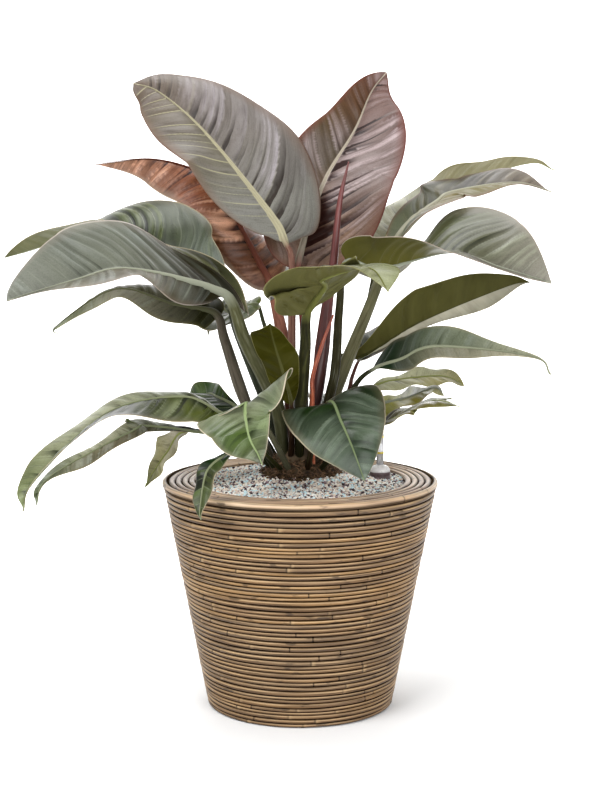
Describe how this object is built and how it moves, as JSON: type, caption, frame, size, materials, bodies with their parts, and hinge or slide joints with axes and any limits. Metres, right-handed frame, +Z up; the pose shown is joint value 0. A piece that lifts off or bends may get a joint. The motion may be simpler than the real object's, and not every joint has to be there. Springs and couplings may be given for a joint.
{
  "type": "potted philodendron",
  "caption": "Bushy leafy aroid with broad green and red-bronze leaves on long stalks, in a tapered round rattan planter with a water gauge.",
  "frame": {"origin": "centre of the planter's flat foot, on the surface that it stands on", "axes": "+Z up; -Y towards the viewer of the picture, the front; +X to the viewer's right"},
  "size_m": [0.7177, 0.4213, 0.7826],
  "materials": {
    "cane": "peeled rattan, round canes, satin",
    "rim_cane": "peeled rattan, lighter and smoother, satin",
    "hoop": "rough wood, hidden",
    "liner": "matt black",
    "granules": "loose mineral grains, rough, mixed cream, grey-blue and brown",
    "soil": "dark fibrous potting mix, rough",
    "crown": "short woody stem, matt olive-brown",
    "leaf_mauve": "silky grey-mauve leaf",
    "leaf_bronze": "silky bronze-red leaf",
    "leaf_copper": "glossy copper-red leaf",
    "leaf_green": "glossy mid-green leaf",
    "leaf_olive": "glossy olive leaf",
    "leaf_grey_green": "glossy blue-grey-green leaf",
    "red_stalk": "smooth dark red stalk and rolled leaf",
    "dry_sheath": "thin dry orange-red sheath",
    "gauge_dark": "glossy dark purple-brown",
    "gauge_clear": "clear, glossy",
    "gauge_mark": "glossy red-orange"
  },
  "bodies": {
    "root": {"planter_liner": "liner", "rattan_wrap": "cane", "rim_hoop": "hoop", "rim_cane_1": "rim_cane", "rim_cane_2": "rim_cane", "rim_cane_3": "rim_cane", "rim_cane_4": "rim_cane", "rim_cane_5": "rim_cane", "mineral_granules": "granules", "root_ball": "soil", "crown": "crown", "gauge_pipe": "gauge_dark", "gauge_dome": "gauge_clear", "gauge_sight_tube": "gauge_clear", "gauge_tube_cap": "gauge_clear", "gauge_float": "gauge_mark", "leaf_top_left": "leaf_mauve", "leaf_top_right": "leaf_bronze", "leaf_copper": "leaf_copper", "leaf_left_high": "leaf_green", "leaf_left_front": "leaf_grey_green", "leaf_left_low": "leaf_olive", "leaf_rear_left_small": "leaf_green", "leaf_centre_front": "leaf_olive", "leaf_right_front": "leaf_grey_green", "leaf_right_high": "leaf_mauve", "leaf_right_back": "leaf_olive", "leaf_right_olive": "leaf_olive", "leaf_right_dark": "leaf_green", "leaf_right_light": "leaf_olive", "leaf_right_pale": "leaf_grey_green", "leaf_right_lowest": "leaf_olive", "leaf_front_right": "leaf_green", "leaf_front_left": "leaf_green", "leaf_left_long_upper": "leaf_green", "leaf_left_long_lower": "leaf_green", "leaf_left_small": "leaf_olive", "leaf_over_rim": "leaf_green", "leaf_rear_left_dark": "leaf_green", "leaf_front_young": "leaf_olive", "leaf_rear_right": "leaf_grey_green", "leaf_rear_upper": "leaf_green", "leaf_rear_low": "leaf_green", "spear_leaf": "red_stalk", "dry_sheath": "dry_sheath"}
  },
  "joints": []
}
